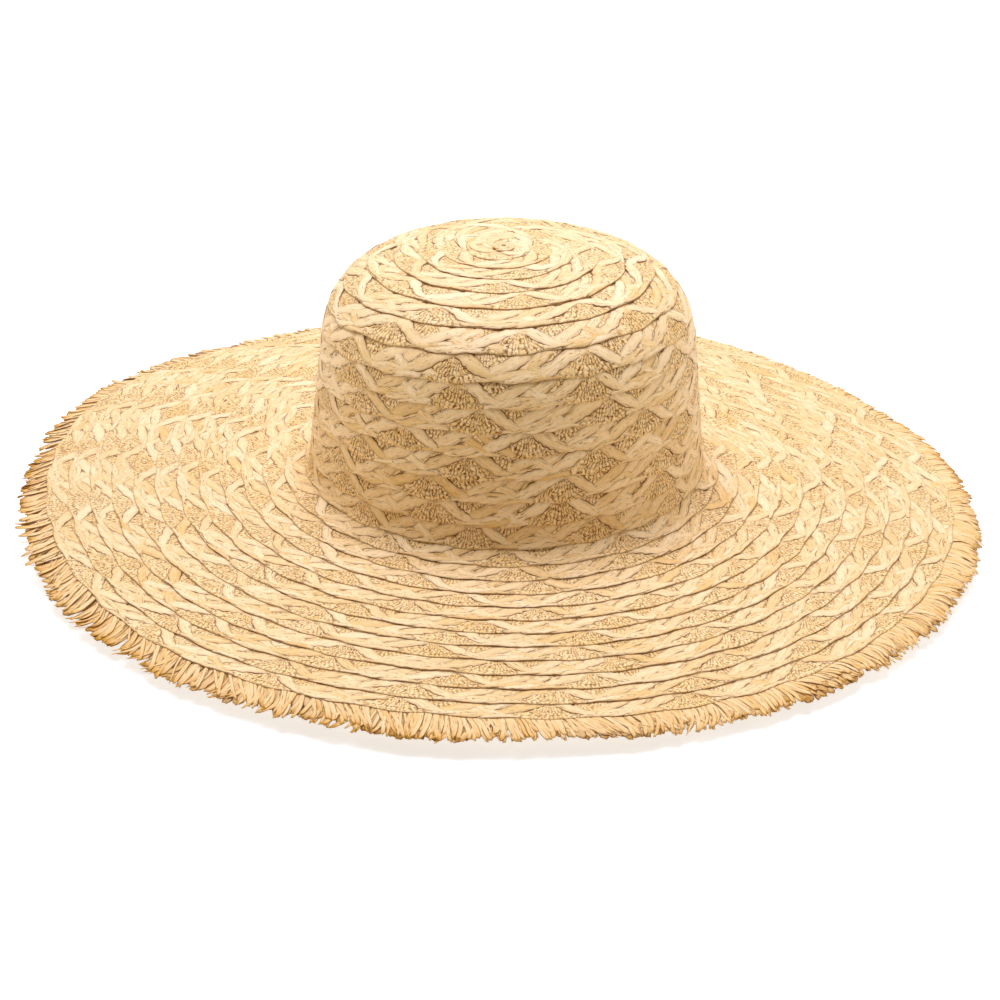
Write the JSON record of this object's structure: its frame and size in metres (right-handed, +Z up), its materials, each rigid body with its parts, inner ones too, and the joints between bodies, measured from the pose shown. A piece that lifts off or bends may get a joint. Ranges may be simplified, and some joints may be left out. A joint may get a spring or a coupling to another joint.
{
  "type": "straw sun hat",
  "caption": "Wide-brimmed sun hat sewn from a spiral of flat straw plait, with a domed crown, a gently waved brim, a frayed straw edge and an inner sweatband.",
  "frame": {"origin": "middle of the hat's outline, on the plane that the lowest points of the brim's edge rest on", "axes": "+Z up along the crown's axis, -Y to the front, +X to the hat's left as worn"},
  "size_m": [0.4748, 0.4702, 0.1394],
  "materials": {
    "crown_straw": "dry flat paper-straw plait with a soft sheen",
    "brim_straw": "dry flat paper-straw plait with a soft sheen",
    "fringe_straw": "frayed paper straws, dry",
    "header_tape": "woven cotton tape",
    "sweatband_ribbon": "ribbed grosgrain ribbon",
    "sewing_thread": "matt polyester thread"
  },
  "bodies": {
    "root": {"crown_button": "crown_straw", "crown_tip_course_1": "crown_straw", "crown_tip_course_2": "crown_straw", "crown_tip_course_3": "crown_straw", "crown_tip_course_4": "crown_straw", "crown_tip_course_5": "crown_straw", "crown_shoulder_course_1": "crown_straw", "crown_shoulder_course_2": "crown_straw", "crown_shoulder_course_3": "crown_straw", "crown_shoulder_course_4": "crown_straw", "crown_side_course_1": "crown_straw", "crown_side_course_2": "crown_straw", "crown_side_course_3": "crown_straw", "crown_side_course_4": "crown_straw", "crown_side_course_5": "crown_straw", "crown_side_course_6": "crown_straw", "brim_course_01": "brim_straw", "brim_course_02": "brim_straw", "brim_course_03": "brim_straw", "brim_course_04": "brim_straw", "brim_course_05": "brim_straw", "brim_course_06": "brim_straw", "brim_course_07": "brim_straw", "brim_course_08": "brim_straw", "brim_course_09": "brim_straw", "brim_course_10": "brim_straw", "brim_course_11": "brim_straw", "brim_course_12": "brim_straw", "fringe_header_tape": "header_tape", "straw_fringe": "fringe_straw", "sweatband": "sweatband_ribbon", "sweatband_stitching": "sewing_thread", "crown_seam_stitching": "sewing_thread", "brim_seam_stitching": "sewing_thread"}
  },
  "joints": []
}
